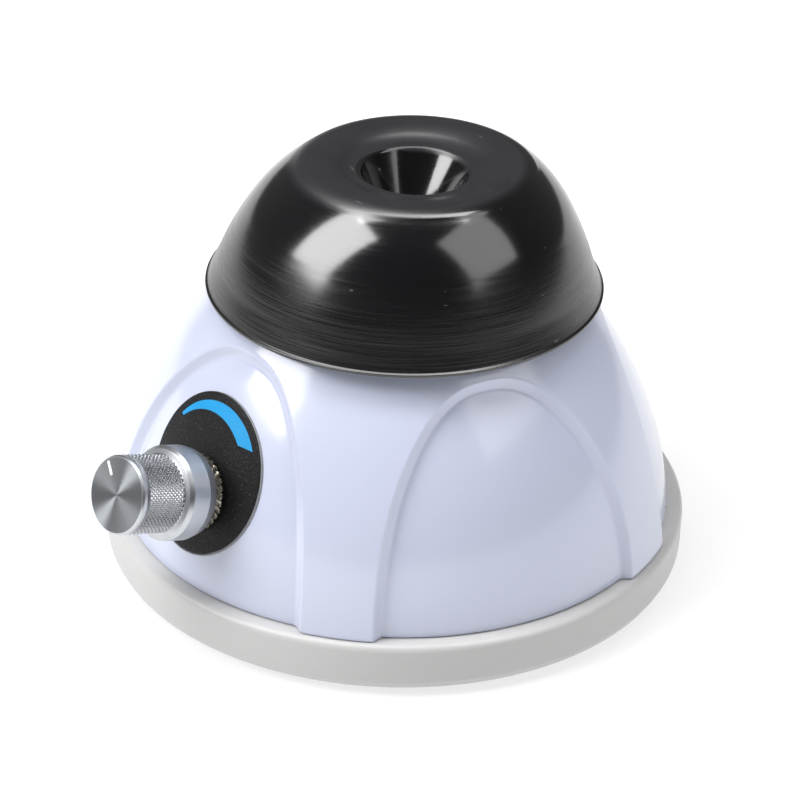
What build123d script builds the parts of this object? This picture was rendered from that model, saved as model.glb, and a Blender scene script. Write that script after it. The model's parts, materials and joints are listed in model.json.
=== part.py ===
from build123d import *
import math
import os

# Touch-operated vortex mixer: a round weighted base, a domed case with five arched
# panels, a black rubber cup that orbits without turning, and a speed knob on a tilted
# axis. Millimetres, +Z up, bench at Z = 0, the dome's axis on Z, the knob toward -Y.

# ---- driving dimensions -------------------------------------------------------------
FOOT_H = 1.7                 # bench to the underside of the base
BASE_R = 59.0
BASE_H = 9.6
BASE_FILLET = 1.3
BASE_CHAMFER = 0.9
BASE_FLOOR = 3.8
POCKET_R = 41.0
BASE_TOP = FOOT_H + BASE_H
FLOOR_Z = FOOT_H + BASE_FLOOR

FOOT_RING_IN = 42.3
FOOT_RING_OUT = 50.2
FOOT_SINK = 1.0

DOME_R = 57.6                # case radius where it meets the base
DOME_ARC_R = 78.6            # radius of the dome's side in section
DOME_FOOT_ANGLE = 5.2        # lean from vertical at the foot
DOME_TOP_ANGLE = 37.0        # lean from vertical of the cone above the arc
DECK_Z = 58.0                # flat deck under the cup
PANEL_DEPTH = 1.85           # step from the pillars down to the arched panels
WALL = 2.4
DECK_WALL = 2.4
OPENING_R = 30.0
COLLAR_T = 1.5
COLLAR_TOP = 60.6
ARCHES = 5
ARCH_FIRST = -90.0           # the knob's arch
ARCH_APEX_Y = -30.0          # the arch cutters narrow toward this point
ARCH_APEX_Z = 39.0
ARCH_PLANE = 30.0            # the arch outline is drawn this far in front of it
ARCH_HALF = 42.2
ARCH_TOP = 57.4              # crown height above the apex point in that plane

KNOB_TILT = 20.0
KNOB_Z = 30.27               # knob axis on the panel surface
KNOB_Y = -51.66
KNOB_BACK = 3.4
KNOB_LEN = 17.6
KNOB_BARREL_R = 7.5
KNOB_FACE_R = 6.9
KNOB_SKIRT_R = 9.1
KNOB_POINTER = 42.0          # rest angle of the pointer, left of upright
POT_SHAFT_R = 2.97
BUSHING_BORE_R = 3.04
BUSHING_R = 3.5
PAD_FACE = -4.4              # flat pad behind the panel, along the knob axis
POT_R = 8.2
POT_LEN = 8.0
LABEL_HALF_W = 14.8
LABEL_HALF_H = 15.6
LABEL_SIDE = -1.2            # label centre to the side of the knob axis
LABEL_RISE = 3.7             # label centre above the knob axis, along the panel
LABEL_T = 0.5

TRAVEL = 1.0                 # how far a push on the cup sinks the drive
ECC = 2.0                    # eccentric throw: half the 4 mm orbit
ECC_ANGLE = -22.0            # where the throw points at rest
CUP_LIP_Z = 60.2
CUP_LIP_R = 39.2
CUP_TOP = 85.25
CREST_R = 19.6
THROAT_R = 10.7
THROAT_Z = 83.35
FUNNEL_R = 3.4
FUNNEL_Z = 70.2

GUIDE_R = 27.0               # circle of the three guide posts
GUIDE_ANGLES = (30.0, 150.0, 270.0)
POST_R = 2.5
TOWER_R = 5.5
TOWER_TOP = 27.0
PLATE_R = 34.0
PLATE_Z = 44.0
PLATE_T = 2.5
PIN_CIRCLE = 19.0            # circle of the three anti-rotation pins
PIN_ANGLES = (90.0, 210.0, 330.0)
PIN_R = 2.0

MOTOR_R = 15.0
MOTOR_Z = 15.2
CAN_T = 1.2
SHAFT_R = 2.0
RUNNING = 0.04
HUB_R = 8.5
HUB_Z = 49.2
HUB_H = 5.8
ECC_PIN_R = 4.0
BEARING_Z = 55.6
BEARING_H = 5.0
BEARING_OUT = 8.0
RACE_IN = 5.1
RACE_OUT = 6.9
BALL_R = 1.2
BALLS = 8
CARRIER_Z = 62.8
CARRIER_T = 3.0
CARRIER_R = 25.4
CORE_R = 20.0

BOARD_Z = 12.5
BOARD_T = 1.6
BOARD_TOP = BOARD_Z + BOARD_T
BOARD_FIXINGS = ((-14.5, 23.0), (14.5, 23.0), (-14.5, 34.5), (14.5, 34.5))
JACK_Z = 20.0
JACK_PIN_R = 1.05
STRIKER_X = 12.0
STRIKER_Y = 29.0
SCREW_CIRCLE = 46.0
SCREW_ANGLES = (-54.0, 18.0, 162.0, 234.0)


# ---- helpers ------------------------------------------------------------------------
def rod(r, z0, z1, x=0.0, y=0.0):
    return Pos(x, y, z0) * Cylinder(r, z1 - z0, align=(Align.CENTER, Align.CENTER, Align.MIN))


def tube(r_in, r_out, z0, z1, x=0.0, y=0.0):
    return rod(r_out, z0, z1, x, y) - rod(r_in, z0 - 1, z1 + 1, x, y)


def block(x0, x1, y0, y1, z0, z1):
    return Pos((x0 + x1) / 2, (y0 + y1) / 2, (z0 + z1) / 2) * Box(x1 - x0, y1 - y0, z1 - z0)


def polar(r, angle):
    a = math.radians(angle)
    return r * math.cos(a), r * math.sin(a)


def lathe(edges):
    return revolve(make_face(edges), Axis.Z)


def turned(points):
    """A solid of revolution about Z from (r, z) corners."""
    face = make_face(Polyline([(r, 0, z) for r, z in points], close=True))
    return revolve(face, Axis.Z)


ECC_X, ECC_Y = polar(ECC, ECC_ANGLE)
KNOB_FRAME = Plane(
    origin=(0, KNOB_Y, KNOB_Z),
    x_dir=(1, 0, 0),
    z_dir=(0, -math.cos(math.radians(KNOB_TILT)), math.sin(math.radians(KNOB_TILT))),
)


# ---- case ---------------------------------------------------------------------------
def dome(offset, top):
    """The dome's revolved volume, its side moved inward by offset, cut flat at top."""
    foot = math.radians(DOME_FOOT_ANGLE)
    lean = math.radians(DOME_TOP_ANGLE)
    cx = DOME_R - DOME_ARC_R * math.cos(foot)
    cz = BASE_TOP - DOME_ARC_R * math.sin(foot)
    r = DOME_ARC_R - offset
    start = math.asin((BASE_TOP - cz) / r)
    mid = (start + lean) / 2
    p0 = (cx + r * math.cos(start), 0, BASE_TOP)
    p1 = (cx + r * math.cos(mid), 0, cz + r * math.sin(mid))
    p2 = (cx + r * math.cos(lean), 0, cz + r * math.sin(lean))
    p3 = (p2[0] - (top - p2[2]) * math.tan(lean), 0, top)
    edges = [
        ThreePointArc(p0, p1, p2),
        Line(p2, p3),
        Line(p3, (0, 0, top)),
        Line((0, 0, top), (0, 0, BASE_TOP)),
        Line((0, 0, BASE_TOP), p0),
    ]
    return lathe(edges)


def arch_outline(scale):
    """Arch outline in the plane a scaled distance in front of the arch apex point."""
    def at(x, z):
        return (x * scale, ARCH_APEX_Y - ARCH_PLANE * scale, ARCH_APEX_Z + z * scale)

    left = Line(at(-ARCH_HALF, -40), at(-ARCH_HALF, 3))
    crown = Spline(
        [
            at(-ARCH_HALF, 3),
            at(-ARCH_HALF * 0.965, 20),
            at(-ARCH_HALF * 0.845, 38),
            at(-ARCH_HALF * 0.5, 52),
            at(0, ARCH_TOP),
            at(ARCH_HALF * 0.5, 52),
            at(ARCH_HALF * 0.845, 38),
            at(ARCH_HALF * 0.965, 20),
            at(ARCH_HALF, 3),
        ],
        tangents=[(0, 0, 1), (0, 0, -1)],
    )
    right = Line(at(ARCH_HALF, 3), at(ARCH_HALF, -40))
    sill = Line(at(ARCH_HALF, -40), at(-ARCH_HALF, -40))
    return make_face([left, crown, right, sill])


def shell():
    raised = dome(0, DECK_Z)
    rim = raised.edges().filter_by(GeomType.CIRCLE).group_by(Axis.Z)[-1]
    raised = fillet(rim, 1.2)
    panel = dome(PANEL_DEPTH, DECK_Z + 6)
    cutter = loft([arch_outline(1.0), arch_outline(0.12)], ruled=True) - panel
    for i in range(ARCHES):
        raised -= Rot(0, 0, i * 360 / ARCHES) * cutter
    body = raised - dome(PANEL_DEPTH + WALL, DECK_Z - DECK_WALL)
    body += tube(OPENING_R, OPENING_R + COLLAR_T, DECK_Z - 1, COLLAR_TOP)
    body -= rod(OPENING_R, DECK_Z - 10, DECK_Z + 10)
    # screw bosses behind the pillars
    for angle in SCREW_ANGLES:
        x, y = polar(SCREW_CIRCLE, angle)
        body += rod(4.0, BASE_TOP, BASE_TOP + 28, x, y) & panel
        body -= rod(1.25, BASE_TOP - 1, BASE_TOP + 12, x, y)
    # flat pad for the speed control, and its bushing hole
    pad = KNOB_FRAME.location * rod(9.6, PAD_FACE, -1.0)
    body += pad & panel
    body -= KNOB_FRAME.location * rod(BUSHING_R + 0.15, PAD_FACE - 8, 6)
    body -= KNOB_FRAME.location * rod(9.4, PAD_FACE - 10, PAD_FACE)
    # inlet hole in the back pillar, with a square pocket for the jack's body
    body -= Pos(0, 0, JACK_Z) * Rot(-90, 0, 0) * rod(4.8, 45, 62)
    body -= block(-5.2, 5.2, 45, 53.6, BOARD_TOP - 1, JACK_Z + 6.2)
    return body


def base_plate():
    base = rod(BASE_R, FOOT_H, BASE_TOP)
    rims = base.edges().filter_by(GeomType.CIRCLE).sort_by(Axis.Z)
    base = fillet(rims[-1:], BASE_FILLET)
    rims = base.edges().filter_by(GeomType.CIRCLE).sort_by(Axis.Z)
    base = chamfer(rims[:1], BASE_CHAMFER)
    base -= rod(POCKET_R, FLOOR_Z, BASE_TOP + 1)
    base += tube(50.4, 52.9, BASE_TOP - 1, BASE_TOP + 2.6) - block(-8, 8, 45, 56, BASE_TOP, 20)
    base -= tube(FOOT_RING_IN - 0.1, FOOT_RING_OUT + 0.1, FOOT_H - 1, FOOT_H + FOOT_SINK)
    for angle in SCREW_ANGLES:
        x, y = polar(SCREW_CIRCLE, angle)
        base -= rod(1.7, FOOT_H, BASE_TOP + 1, x, y)
        base -= rod(3.3, FOOT_H, FOOT_H + 4.0, x, y)
    for angle in GUIDE_ANGLES:
        x, y = polar(35.5, angle + 60)
        base -= rod(1.5, FLOOR_Z - 2, FLOOR_Z + 1, x, y)
        x, y = polar(GUIDE_R, angle)
        base += rod(TOWER_R, FLOOR_Z - 1, TOWER_TOP, x, y)
        base -= rod(POST_R, TOWER_TOP - 14, TOWER_TOP + 1, x, y)
    return base


def foot_ring():
    ring = tube(FOOT_RING_IN, FOOT_RING_OUT, 0, FOOT_H + FOOT_SINK)
    low = ring.edges().filter_by(GeomType.CIRCLE).group_by(Axis.Z)[0]
    return chamfer(low, 0.5)


def ballast_plate():
    plate = rod(POCKET_R - 0.4, FLOOR_Z, FLOOR_Z + 4)
    for angle in GUIDE_ANGLES:
        x, y = polar(GUIDE_R, angle)
        plate -= rod(TOWER_R + 0.3, 0, 20, x, y)
    for angle in GUIDE_ANGLES:
        x, y = polar(35.5, angle + 60)
        plate -= rod(1.6, 0, 20, x, y)
    for x, y in BOARD_FIXINGS:
        plate -= rod(1.1, FLOOR_Z + 1, 20, x, y)
    return plate


def ballast_screws():
    screws = []
    for angle in GUIDE_ANGLES:
        x, y = polar(35.5, angle + 60)
        screw = rod(1.5, FLOOR_Z - 2, FLOOR_Z + 4, x, y)
        screw += rod(2.8, FLOOR_Z + 4, FLOOR_Z + 5.6, x, y)
        screw -= block(x - 3, x + 3, y - 0.35, y + 0.35, FLOOR_Z + 4.9, FLOOR_Z + 7)
        screws.append(screw)
    return screws


def case_screws():
    screws = []
    for angle in SCREW_ANGLES:
        x, y = polar(SCREW_CIRCLE, angle)
        screw = rod(3.0, FOOT_H + 1.6, FOOT_H + 4.0, x, y)
        screw += rod(1.2, FOOT_H + 3, BASE_TOP + 11, x, y)
        slot = block(x - 2, x + 2, y - 0.4, y + 0.4, FOOT_H, FOOT_H + 2.5)
        slot += block(x - 0.4, x + 0.4, y - 2, y + 2, FOOT_H, FOOT_H + 2.5)
        screws.append(screw - slot)
    return screws


# ---- speed control ------------------------------------------------------------------
def along_knob(shape):
    return KNOB_FRAME.location * shape


def speed_knob():
    b = KNOB_BACK
    f = KNOB_BACK + KNOB_LEN
    body = turned(
        [
            (POT_SHAFT_R, b + 1.8),
            (6.3, b + 1.8),
            (6.3, b),
            (KNOB_SKIRT_R - 1.3, b),
            (KNOB_SKIRT_R, b + 1.9),
            (KNOB_SKIRT_R, b + 5.6),
            (KNOB_BARREL_R, b + 7.0),
            (KNOB_BARREL_R, f - 1.2),
            (KNOB_FACE_R, f - 0.25),
            (KNOB_FACE_R - 0.35, f),
            (0, f),
            (0, f - 3.2),
            (POT_SHAFT_R, f - 3.2),
        ]
    )
    groove = Rot(0, 0, KNOB_POINTER) * block(-0.45, 0.45, 3.9, 7.2, f - 0.4, f + 1)
    screw_hole = Pos(0, 0, b + 3.8) * Rot(0, 90, 0) * rod(1.5, 0, 12)
    return along_knob(body - groove - screw_hole)


def knob_pointer():
    f = KNOB_BACK + KNOB_LEN
    inlay = Rot(0, 0, KNOB_POINTER) * block(-0.45, 0.45, 3.9, 6.6, f - 0.4, f - 0.05)
    return along_knob(inlay)


def knob_set_screw():
    screw = rod(1.45, POT_SHAFT_R, 7.4) - rod(0.75, 5.6, 8)
    return along_knob(Pos(0, 0, KNOB_BACK + 3.8) * Rot(0, 90, 0) * screw)


def control_shaft():
    shaft = rod(POT_SHAFT_R, PAD_FACE - POT_LEN + 2, KNOB_BACK + KNOB_LEN - 3.4)
    return along_knob(shaft)


def control_wiper():
    z = PAD_FACE - POT_LEN + 2.2
    disc = tube(POT_SHAFT_R, 6.6, z, z + 1.2)
    arm = block(-1.2, 1.2, 4.0, 6.4, z - 0.6, z)
    return along_knob(disc + arm)


def control_case():
    z0 = PAD_FACE - POT_LEN
    case = rod(POT_R, z0, PAD_FACE) - rod(POT_R - 1.0, z0 + 1.0, PAD_FACE - 1.2)
    case += block(-7, 7, -12.5, -7.4, z0, z0 + 1.2)
    case -= rod(BUSHING_R, PAD_FACE - 2, PAD_FACE + 1)
    return along_knob(case)


def control_track():
    z0 = PAD_FACE - POT_LEN + 1.0
    ring = tube(4.4, 6.4, z0, z0 + 0.4) - block(-2.4, 2.4, -8, 0, z0 - 1, z0 + 1)
    return along_knob(ring)


def control_terminals():
    z0 = PAD_FACE - POT_LEN
    tabs = []
    for x in (-5, 0, 5):
        tab = block(x - 0.7, x + 0.7, -13.4, -8.4, z0 - 0.6, z0)
        tab -= rod(0.4, z0 - 2, z0 + 2, x, -12.4)
        tabs.append(along_knob(tab))
    return tabs


def control_bushing():
    sleeve = tube(BUSHING_BORE_R, BUSHING_R, PAD_FACE - 1.2, 2.9)
    for i in range(4):
        sleeve -= tube(BUSHING_R - 0.14, BUSHING_R + 1, 1.3 + 0.4 * i, 1.5 + 0.4 * i)
    return along_knob(sleeve)


def toothed_washer():
    z0 = LABEL_T + 0.02
    washer = tube(BUSHING_R + 0.1, 6.2, z0, z0 + 0.6)
    for i in range(18):
        tooth = Pos(6.3, 0, z0 + 0.3) * Box(1.1, 0.9, 0.6)
        washer += Rot(0, 0, i * 20) * tooth
    return along_knob(washer)


def control_nut():
    z0 = LABEL_T + 0.62
    nut = Pos(0, 0, z0) * extrude(RegularPolygon(5.2, 6, major_radius=False), 1.7)
    nut -= rod(BUSHING_R, 0, 6)
    bevel = turned([(5.4, z0 - 1), (8, z0 - 1), (8, z0 + 3), (5.0, z0 + 3), (5.4, z0 + 1.2)])
    return along_knob(nut - bevel)


def scale_label():
    prism = KNOB_FRAME.location * Pos(LABEL_SIDE, LABEL_RISE, 0) * extrude(
        Ellipse(LABEL_HALF_W, LABEL_HALF_H), 14, both=True
    )
    sheet = dome(PANEL_DEPTH - LABEL_T, DECK_Z + 6) - dome(PANEL_DEPTH, DECK_Z + 7)
    label = prism & sheet
    label -= KNOB_FRAME.location * rod(BUSHING_R + 0.3, -20, 8)
    return label


# ---- drive carriage -----------------------------------------------------------------
def drive_plate():
    plate = rod(PLATE_R, PLATE_Z, PLATE_Z + PLATE_T) - rod(6.1, PLATE_Z - 1, PLATE_Z + 9)
    for angle in GUIDE_ANGLES:
        x, y = polar(GUIDE_R, angle)
        plate -= rod(4.0, PLATE_Z - 1, PLATE_Z + 9, x, y)
    for angle in PIN_ANGLES:
        x, y = polar(PIN_CIRCLE, angle)
        plate -= rod(PIN_R, PLATE_Z - 1, PLATE_Z + 9, x, y)
    for x in (-10.5, 10.5):
        plate -= rod(1.5, PLATE_Z - 1, PLATE_Z + 9, x, 0)
    plate -= rod(1.5, PLATE_Z - 1, PLATE_Z + 9, STRIKER_X, STRIKER_Y)
    for angle in (0, 180, 240, 300):
        x, y = polar(26.0, angle)
        plate -= rod(3.5, PLATE_Z - 1, PLATE_Z + 9, x, y)
    return plate


def guide_bushings():
    out = []
    for angle in GUIDE_ANGLES:
        x, y = polar(GUIDE_R, angle)
        sleeve = rod(4.0, PLATE_Z - 0.4, PLATE_Z + PLATE_T, x, y)
        sleeve += rod(5.2, PLATE_Z - 1.2, PLATE_Z, x, y)
        out.append(sleeve - rod(POST_R + RUNNING, 0, 90, x, y))
    return out


def guide_posts():
    out = []
    for angle in GUIDE_ANGLES:
        x, y = polar(GUIDE_R, angle)
        post = rod(POST_R, TOWER_TOP - 14, PLATE_Z + 6.2, x, y)
        post -= tube(1.9, 4, PLATE_Z + 2.9, PLATE_Z + 3.9, x, y)
        out.append(post)
    return out


def retaining_clips():
    out = []
    for angle in GUIDE_ANGLES:
        x, y = polar(GUIDE_R, angle)
        ring = tube(1.9, 4.6, PLATE_Z + 2.95, PLATE_Z + 3.85, x, y)
        ring -= Pos(x, y, 0) * Rot(0, 0, angle) * block(0, 8, -1.1, 1.1, 0, 90)
        out.append(ring)
    return out


def return_springs():
    length = PLATE_Z - 1.2 - TOWER_TOP - 1.0
    pitch = length / 6
    coil = Helix(pitch=pitch, height=length, radius=4.1)
    section = Plane(origin=coil @ 0, z_dir=coil % 0) * Circle(0.42)
    spring = Pos(0, 0, TOWER_TOP + 0.5) * sweep(section, path=coil)
    return [Pos(*polar(GUIDE_R, a), 0) * spring for a in GUIDE_ANGLES]


def antirotation_pins():
    out = []
    for angle in PIN_ANGLES:
        x, y = polar(PIN_CIRCLE, angle)
        pin = rod(PIN_R, PLATE_Z, CARRIER_Z + 2.4, x, y)
        out.append(pin + rod(3.2, PLATE_Z + PLATE_T, PLATE_Z + PLATE_T + 1.2, x, y))
    return out


def switch_striker():
    x, y = STRIKER_X, STRIKER_Y
    post = rod(1.5, BOARD_TOP + 8.2, PLATE_Z + PLATE_T, x, y)
    return post + rod(2.4, PLATE_Z - 1.2, PLATE_Z, x, y)


def motor_can():
    top = PLATE_Z
    can = rod(MOTOR_R, MOTOR_Z, top) - rod(MOTOR_R - CAN_T, MOTOR_Z - 1, top - CAN_T)
    can -= rod(4.0, top - 2, top + 1)
    for x in (-10.5, 10.5):
        can -= rod(1.2, top - 2, top + 1, x, 0)
    return can


def motor_end_bell():
    bell = rod(MOTOR_R - CAN_T, MOTOR_Z, MOTOR_Z + 3.0)
    bell += rod(5.0, MOTOR_Z - 2.4, MOTOR_Z)
    bell -= rod(4.0, MOTOR_Z - 1.9, MOTOR_Z + 4)
    return bell


def motor_bushings():
    lower = tube(SHAFT_R + RUNNING, 4.0, MOTOR_Z - 1.2, MOTOR_Z + 2.6)
    upper = tube(SHAFT_R + RUNNING, 4.0, PLATE_Z - 3.4, PLATE_Z + 1.6)
    return [lower, upper]


def motor_magnets():
    ring = tube(11.6, MOTOR_R - CAN_T, MOTOR_Z + 6, PLATE_Z - 5)
    gap = block(-20, 20, -3.5, 3.5, 0, 90)
    halves = ring - gap
    return list(halves.solids())


def motor_screws():
    out = []
    for x in (-10.5, 10.5):
        screw = rod(1.2, PLATE_Z - 1.2, PLATE_Z + PLATE_T, x, 0)
        screw += rod(2.1, PLATE_Z + PLATE_T, PLATE_Z + PLATE_T + 1.3, x, 0)
        slot = block(x - 3, x + 3, -0.3, 0.3, PLATE_Z + PLATE_T + 0.7, 60)
        out.append(screw - slot)
    return out


def motor_brushes():
    out = []
    for s in (-1, 1):
        out.append(block(min(4.3 * s, 9.5 * s), max(4.3 * s, 9.5 * s), -1.3, 1.3,
                         MOTOR_Z + 3.0, MOTOR_Z + 5.4))
    return out


def terminal_board():
    board = block(-7, 7, MOTOR_R, MOTOR_R + 1.4, 26, 36)
    return board - rod(MOTOR_R, 20, 40)


def motor_terminals():
    out = []
    for x in (-3.5, 3.5):
        tab = block(x - 1.1, x + 1.1, MOTOR_R + 1.4, 23.4, 29.2, 29.9)
        out.append(tab)
    return out


def motor_leads():
    out = []
    for x in (-3.5, 3.5):
        out.append(rod(0.75, BOARD_TOP, 29.2, x, 22))
    return out


# ---- rotor --------------------------------------------------------------------------
def motor_shaft():
    return rod(SHAFT_R, MOTOR_Z - 0.9, HUB_Z + HUB_H - 1.2)


def armature_core():
    z0, z1 = MOTOR_Z + 8, PLATE_Z - 7
    core = tube(SHAFT_R, 5.0, z0, z1)
    pole = block(0, 10, -1.6, 1.6, z0, z1)
    pole += tube(9.2, 11.1, z0, z1) & Rot(0, 0, -45) * block(0, 20, 0, 20, 0, 90)
    for i in range(3):
        core += Rot(0, 0, 60 + 120 * i) * pole
    return core - rod(SHAFT_R, 0, 90)


def armature_windings():
    z0, z1 = MOTOR_Z + 7, PLATE_Z - 6
    coils = []
    for i in range(3):
        coil = block(5.3, 8.6, -2.8, 2.8, z0, z1) - block(4, 10, -1.6, 1.6, z0 + 1, z1 - 1)
        coils.append(Rot(0, 0, 60 + 120 * i) * coil)
    return coils


def commutator():
    body = tube(SHAFT_R, 4.0, MOTOR_Z + 3.0, MOTOR_Z + 6.4)
    for i in range(3):
        body -= Rot(0, 0, 120 * i) * block(3.2, 5, -0.3, 0.3, 0, 90)
    return body


def eccentric_hub():
    hub = rod(HUB_R, HUB_Z, HUB_Z + HUB_H) - rod(SHAFT_R, HUB_Z - 1, HUB_Z + HUB_H - 1.2)
    hub += rod(4.8, HUB_Z + HUB_H - 0.1, BEARING_Z, ECC_X, ECC_Y)
    hub += rod(ECC_PIN_R, HUB_Z + HUB_H - 0.1, BEARING_Z + BEARING_H, ECC_X, ECC_Y)
    hub -= rod(1.25, BEARING_Z, BEARING_Z + 9, ECC_X, ECC_Y)
    hub -= Rot(0, 0, ECC_ANGLE) * Pos(0, 0, HUB_Z + 2.6) * Rot(0, 90, 0) * rod(1.5, 0, 12)
    return hub


def hub_set_screw():
    screw = rod(1.45, SHAFT_R, 7.6) - rod(0.8, 5.8, 9)
    return Rot(0, 0, ECC_ANGLE) * Pos(0, 0, HUB_Z + 2.6) * Rot(0, 90, 0) * screw


def counterweight():
    ring = tube(HUB_R, 14.2, HUB_Z + 0.6, HUB_Z + HUB_H - 0.6)
    half = Rot(0, 0, ECC_ANGLE) * block(-20, 1.5, -20, 20, 0, 90)
    return ring & half


def pin_screw():
    z0 = BEARING_Z + BEARING_H
    screw = rod(5.0, z0, z0 + 1.5) + rod(1.25, z0 - 4, z0)
    screw = Pos(ECC_X, ECC_Y, 0) * screw
    return screw - block(ECC_X - 6, ECC_X + 6, ECC_Y - 0.4, ECC_Y + 0.4, z0 + 0.9, z0 + 9)


def race_groove():
    middle = BEARING_Z + BEARING_H / 2
    circle = Plane.XZ * Pos((RACE_IN + RACE_OUT) / 2, middle) * Circle(BALL_R + 0.05)
    return revolve(circle, Axis.Z)


def at_pin(shape):
    return Pos(ECC_X, ECC_Y, 0) * shape


def bearing_inner_ring():
    ring = tube(ECC_PIN_R, RACE_IN, BEARING_Z, BEARING_Z + BEARING_H) - race_groove()
    return at_pin(ring)


def bearing_outer_ring():
    ring = tube(RACE_OUT, BEARING_OUT, BEARING_Z, BEARING_Z + BEARING_H) - race_groove()
    return at_pin(ring)


def bearing_balls():
    middle = BEARING_Z + BEARING_H / 2
    pitch = (RACE_IN + RACE_OUT) / 2
    out = []
    for i in range(BALLS):
        x, y = polar(pitch, i * 360 / BALLS)
        out.append(at_pin(Pos(x, y, middle) * Sphere(BALL_R)))
    return out


def bearing_cage():
    middle = BEARING_Z + BEARING_H / 2
    pitch = (RACE_IN + RACE_OUT) / 2
    cage = tube(pitch - 0.5, pitch + 0.5, middle - 1.7, middle + 1.7)
    for i in range(BALLS):
        pocket = Rot(0, 90, 0) * rod(BALL_R + 0.06, pitch - 2, pitch + 2)
        cage -= Pos(0, 0, middle) * Rot(0, 0, i * 360 / BALLS) * pocket
    return at_pin(cage)


# ---- cup head -----------------------------------------------------------------------
def cup_carrier():
    z0, z1 = CARRIER_Z, CARRIER_Z + CARRIER_T
    boss = rod(11.0, BEARING_Z, z0) - rod(BEARING_OUT, BEARING_Z - 1, BEARING_Z + BEARING_H)
    boss -= rod(7.2, BEARING_Z, z0 + 1)
    body = boss + rod(CARRIER_R, z0, z1) + tube(CORE_R, CORE_R + 2.5, z1, z1 + 8)
    for angle in PIN_ANGLES:
        x, y = polar(PIN_CIRCLE, angle)
        body -= rod(PIN_R + ECC + 0.35, z0 - 1, z1 - 0.2, x, y)
    return at_pin(body)


def rubber_cup():
    """Rubber cup: flared skirt, rounded crest, shallow bowl and a steep funnel."""
    lip = [(36.0, CUP_LIP_Z), (CUP_LIP_R - 0.3, CUP_LIP_Z), (CUP_LIP_R, CUP_LIP_Z + 0.3)]
    lip += [(CUP_LIP_R, CUP_LIP_Z + 0.9), (38.3, CUP_LIP_Z + 1.2)]
    waist = [(34.6, 69.6), (32.35, 74.15)]
    taper = math.atan((THROAT_R - 0.25 - FUNNEL_R) / (THROAT_Z - 0.5 - FUNNEL_Z))
    tip_r = FUNNEL_R / math.cos(taper)
    tip_z = FUNNEL_Z + FUNNEL_R * math.tan(taper)
    tip_mid = math.pi / 4 + taper / 2
    brow = (22.9, 84.15)
    under = [(24.0, 79.0), (CORE_R + 3.0, 79.0), (CORE_R + 3.0, 74.4), (CORE_R, 74.4)]
    edges = [
        Polyline([(r, 0, z) for r, z in lip + waist[:1]]),
        ThreePointArc((34.6, 0, 69.6), (33.65, 0, 71.97), (32.35, 0, 74.15)),
        ThreePointArc((32.35, 0, 74.15), (27.95, 0, 79.45), (brow[0], 0, brow[1])),
        ThreePointArc((brow[0], 0, brow[1]), (21.55, 0, 84.98), (CREST_R, 0, CUP_TOP)),
        ThreePointArc((CREST_R, 0, CUP_TOP), (17.1, 0, 85.12), (14.9, 0, 84.36)),
        ThreePointArc((14.9, 0, 84.36), (13.1, 0, 83.63), (THROAT_R + 0.5, 0, THROAT_Z)),
        ThreePointArc(
            (THROAT_R + 0.5, 0, THROAT_Z),
            (THROAT_R + 0.06, 0, THROAT_Z - 0.13),
            (THROAT_R - 0.25, 0, THROAT_Z - 0.5),
        ),
        Line((THROAT_R - 0.25, 0, THROAT_Z - 0.5), (FUNNEL_R, 0, FUNNEL_Z)),
        ThreePointArc(
            (FUNNEL_R, 0, FUNNEL_Z),
            (tip_r * math.cos(tip_mid), 0, tip_z - tip_r * math.sin(tip_mid)),
            (0, 0, tip_z - tip_r),
        ),
        Line((0, 0, tip_z - tip_r), (0, 0, CARRIER_Z + CARRIER_T)),
        Line((0, 0, CARRIER_Z + CARRIER_T), (CORE_R, 0, CARRIER_Z + CARRIER_T)),
        Polyline([(CORE_R, 0, CARRIER_Z + CARRIER_T)] + [(r, 0, z) for r, z in under[::-1]]),
        Polyline(
            [(24.0, 0, 79.0), (29.6, 0, 74.0), (31.8, 0, 70.2), (35.0, 0, 62.4), (36.0, 0, CUP_LIP_Z)]
        ),
    ]
    return at_pin(lathe(edges))


# ---- electrics ----------------------------------------------------------------------
def circuit_board():
    board = block(-20, 20, 19.6, 45, BOARD_Z, BOARD_TOP)
    board -= rod(16.6, 0, 40)
    for x, y in BOARD_FIXINGS:
        board -= rod(1.3, 0, 40, x, y)
    return board


def board_spacers():
    return [tube(1.3, 2.6, FLOOR_Z + 4, BOARD_Z, x, y) for x, y in BOARD_FIXINGS]


def board_screws():
    out = []
    for x, y in BOARD_FIXINGS:
        screw = rod(1.1, FLOOR_Z + 1.5, BOARD_TOP, x, y)
        screw += rod(2.0, BOARD_TOP, BOARD_TOP + 1.3, x, y)
        out.append(screw - block(x - 3, x + 3, y - 0.3, y + 0.3, BOARD_TOP + 0.7, 40))
    return out


def dc_jack():
    jack = block(-4.5, 4.5, 39, 51.2, BOARD_TOP, JACK_Z + 5.5)
    nose = Pos(0, 0, JACK_Z) * Rot(-90, 0, 0) * rod(4.4, 50, 55.6)
    bore = Pos(0, 0, JACK_Z) * Rot(-90, 0, 0) * rod(2.9, 43, 60)
    return jack + nose - bore


def dc_jack_pin():
    pin = Pos(0, 0, JACK_Z) * Rot(-90, 0, 0) * rod(JACK_PIN_R, 43, 54.4)
    return pin


def press_switch():
    x, y = STRIKER_X, STRIKER_Y
    case = block(x - 3.2, x + 3.2, y - 3.2, y + 3.2, BOARD_TOP, BOARD_TOP + 5.4)
    return case - rod(1.65, BOARD_TOP + 1.5, 40, x, y)


def switch_plunger():
    x, y = STRIKER_X, STRIKER_Y
    return rod(1.6, BOARD_TOP + 3.2, BOARD_TOP + 7.9, x, y)


def speed_chip():
    chip = block(-9, -1, 27, 33, BOARD_TOP, BOARD_TOP + 1.7)
    return chip - rod(0.4, BOARD_TOP + 1.5, 40, -8, 28)


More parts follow.
